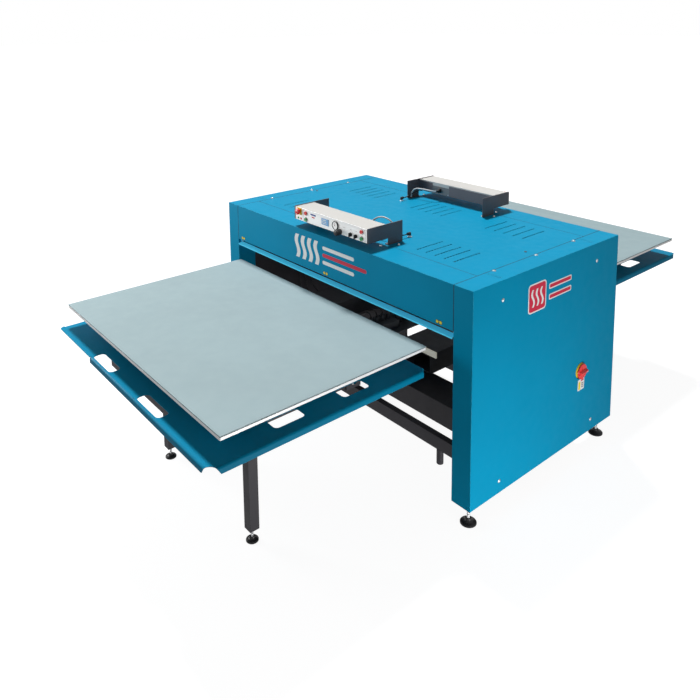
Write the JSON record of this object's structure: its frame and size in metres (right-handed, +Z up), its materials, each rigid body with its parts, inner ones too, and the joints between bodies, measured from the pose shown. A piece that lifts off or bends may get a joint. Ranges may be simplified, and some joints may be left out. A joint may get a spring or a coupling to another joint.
{
  "type": "double shuttle heat press",
  "caption": "Large pneumatic flat-bed heat press: a boxed body with a heated upper platen, padded tables that roll out to the front and the rear, and a control console on each side of the top.",
  "frame": {"origin": "on the floor, under the middle of the press body", "axes": "+X across the machine, towards the casing with the main switch; +Y from the front (operator's) console to the rear, along the tables' travel; +Z up"},
  "size_m": [2.1425, 3.716, 1.3184],
  "materials": {
    "case_paint": "powder-coated turquoise blue, fine texture, semi-gloss",
    "trip_paint": "light blue powder coat, semi-gloss",
    "frame_paint": "charcoal powder coat, satin",
    "bearer_paint": "dark grey paint, matt",
    "nose_nylon": "cream nylon, machined",
    "zinc": "zinc-plated",
    "black_rubber": "moulded, matt",
    "black_plastic": "moulded, fine grain",
    "bronze": "sintered bronze",
    "brass": "turned, bright",
    "valve_paint": "grey enamel",
    "box_paint": "light grey powder coat",
    "console_grey": "warm light grey, fine texture",
    "console_plate": "charcoal powder coat, satin",
    "fascia_white": "white printed foil, satin",
    "display_blue": "glossy bezel and screen",
    "cable_grey": "flexible PVC, satin",
    "table_alloy": "milled plate, bright edge",
    "pad_silicone": "pale blue-grey silicone sheet, matt",
    "tray_paint": "powder-coated turquoise blue, semi-gloss",
    "wheel_steel": "turned and ground",
    "platen_alloy": "cast, ground flat",
    "ceramic": "glazed ceramic",
    "board": "pressed mineral board",
    "rod_steel": "hard-chromed, polished",
    "bag_rubber": "fabric-reinforced rubber",
    "spring_steel": "oiled spring wire",
    "red_plastic": "moulded, glossy",
    "green_plastic": "moulded, glossy",
    "switch_yellow": "moulded yellow"
  },
  "bodies": {
    "frame": {"side_frame_left": "frame_paint", "side_frame_right": "frame_paint", "upper_beams": "frame_paint", "lower_beams": "frame_paint", "bearers": "bearer_paint", "bearer_noses": "nose_nylon", "cross_tubes": "frame_paint", "left_casing": "case_paint", "right_casing": "case_paint", "front_hood": "case_paint", "rear_hood": "case_paint", "top_cover": "case_paint", "casing_screws": "zinc", "foot_pads": "black_plastic", "foot_studs": "zinc", "rails": "frame_paint", "legs": "frame_paint", "stop_bumpers": "black_rubber", "guide_bushes": "bronze", "pneumatic_unit": "valve_paint", "electrical_box": "box_paint", "air_inlet": "brass", "cable_gland": "black_plastic", "main_switch_plate": "switch_yellow", "console_boxes": "console_grey", "console_plates": "console_plate", "console_fascias": "fascia_white", "console_instruments": "display_blue", "console_harness": "cable_grey"},
    "front_shuttle": {"front_table_plate": "table_alloy", "front_pad": "pad_silicone", "front_carriage": "frame_paint", "front_tray": "tray_paint"},
    "front_outer_wheels": {"front_outer_wheelset": "wheel_steel"},
    "front_inner_wheels": {"front_inner_wheelset": "wheel_steel"},
    "rear_shuttle": {"rear_table_plate": "table_alloy", "rear_pad": "pad_silicone", "rear_carriage": "frame_paint", "rear_tray": "tray_paint"},
    "rear_outer_wheels": {"rear_outer_wheelset": "wheel_steel"},
    "rear_inner_wheels": {"rear_inner_wheelset": "wheel_steel"},
    "platen": {"heat_platen": "platen_alloy", "heater_terminals": "ceramic", "insulation_board": "board", "pressure_plate": "frame_paint", "guide_rods": "rod_steel", "air_bags": "bag_rubber", "return_springs": "spring_steel"},
    "front_trip": {"front_trip_bar": "trip_paint"},
    "rear_trip": {"rear_trip_bar": "trip_paint"},
    "front_stop_head": {"front_estop": "red_plastic"},
    "front_start": {"front_start_buttons": "green_plastic"},
    "front_stop": {"front_stop_buttons": "red_plastic"},
    "regulator_knob": {"pressure_knob": "black_plastic"},
    "left_switch": {"left_selector": "black_plastic"},
    "right_switch": {"right_selector": "black_plastic"},
    "rear_stop_head": {"rear_estop": "red_plastic"},
    "rear_start": {"rear_start_buttons": "green_plastic"},
    "rear_stop": {"rear_stop_buttons": "red_plastic"},
    "main_switch": {"main_switch_knob": "red_plastic"}
  },
  "joints": [
    {"name": "front_table_slide", "type": "slide", "parent": "frame", "child": "front_shuttle", "axis": [0, 1, 0], "range_m": [0, 1.244]},
    {"name": "rear_table_slide", "type": "slide", "parent": "frame", "child": "rear_shuttle", "axis": [0, 1, 0], "range_m": [-1.244, 0]},
    {"name": "front_outer_wheels_roll", "type": "hinge", "parent": "front_shuttle", "child": "front_outer_wheels", "pos_m": [0, -1.579, 0.6603], "axis": [-1, 0, 0], "range_deg": [0, 1589]},
    {"name": "front_inner_wheels_roll", "type": "hinge", "parent": "front_shuttle", "child": "front_inner_wheels", "pos_m": [0, -0.909, 0.6603], "axis": [-1, 0, 0], "range_deg": [0, 1589]},
    {"name": "rear_outer_wheels_roll", "type": "hinge", "parent": "rear_shuttle", "child": "rear_outer_wheels", "pos_m": [0, 1.579, 0.6603], "axis": [-1, 0, 0], "range_deg": [-1589, 0]},
    {"name": "rear_inner_wheels_roll", "type": "hinge", "parent": "rear_shuttle", "child": "rear_inner_wheels", "pos_m": [0, 0.909, 0.6603], "axis": [-1, 0, 0], "range_deg": [-1589, 0]},
    {"name": "platen_lift", "type": "slide", "parent": "frame", "child": "platen", "axis": [0, 0, -1], "range_m": [0, 0.06], "stiffness_N_per_m": 20000, "springref_m": -0.25, "deforming": ["air_bags", "return_springs"]},
    {"name": "front_trip_tilt", "type": "hinge", "parent": "frame", "child": "front_trip", "pos_m": [0, -0.603, 0.95], "axis": [-1, 0, 0], "range_deg": [0, 8]},
    {"name": "rear_trip_tilt", "type": "hinge", "parent": "frame", "child": "rear_trip", "pos_m": [0, 0.603, 0.95], "axis": [1, 0, 0], "range_deg": [0, 8]},
    {"name": "front_stop_head_press", "type": "slide", "parent": "frame", "child": "front_stop_head", "axis": [0, 1, 0], "range_m": [0, 0.005], "stiffness_N_per_m": 800, "springref_m": -0.003},
    {"name": "front_start_press", "type": "slide", "parent": "frame", "child": "front_start", "axis": [0, 1, 0], "range_m": [0, 0.003], "stiffness_N_per_m": 500, "springref_m": -0.003},
    {"name": "front_stop_press", "type": "slide", "parent": "frame", "child": "front_stop", "axis": [0, 1, 0], "range_m": [0, 0.003], "stiffness_N_per_m": 500, "springref_m": -0.003},
    {"name": "rear_stop_head_press", "type": "slide", "parent": "frame", "child": "rear_stop_head", "axis": [0, -1, 0], "range_m": [0, 0.005], "stiffness_N_per_m": 800, "springref_m": -0.003},
    {"name": "rear_start_press", "type": "slide", "parent": "frame", "child": "rear_start", "axis": [0, -1, 0], "range_m": [0, 0.003], "stiffness_N_per_m": 500, "springref_m": -0.003},
    {"name": "rear_stop_press", "type": "slide", "parent": "frame", "child": "rear_stop", "axis": [0, -1, 0], "range_m": [0, 0.003], "stiffness_N_per_m": 500, "springref_m": -0.003},
    {"name": "pressure_knob_turn", "type": "hinge", "parent": "frame", "child": "regulator_knob", "pos_m": [0.099, -0.604, 1.246], "axis": [0, 1, 0], "range_deg": [0, 1080]},
    {"name": "left_selector_turn", "type": "hinge", "parent": "frame", "child": "left_switch", "pos_m": [0.186, -0.604, 1.25], "axis": [0, 1, 0], "range_deg": [0, 90]},
    {"name": "right_selector_turn", "type": "hinge", "parent": "frame", "child": "right_switch", "pos_m": [0.229, -0.604, 1.25], "axis": [0, 1, 0], "range_deg": [0, 90]},
    {"name": "main_switch_turn", "type": "hinge", "parent": "frame", "child": "main_switch", "pos_m": [1.0415, 0.286, 0.503], "axis": [1, 0, 0], "range_deg": [0, 90]}
  ],
  "couplings": [
    {"joint": "front_outer_wheels_roll", "follows": "front_table_slide", "rad_per_m": 22.222},
    {"joint": "front_inner_wheels_roll", "follows": "front_table_slide", "rad_per_m": 22.222},
    {"joint": "rear_outer_wheels_roll", "follows": "rear_table_slide", "rad_per_m": 22.222},
    {"joint": "rear_inner_wheels_roll", "follows": "rear_table_slide", "rad_per_m": 22.222}
  ]
}
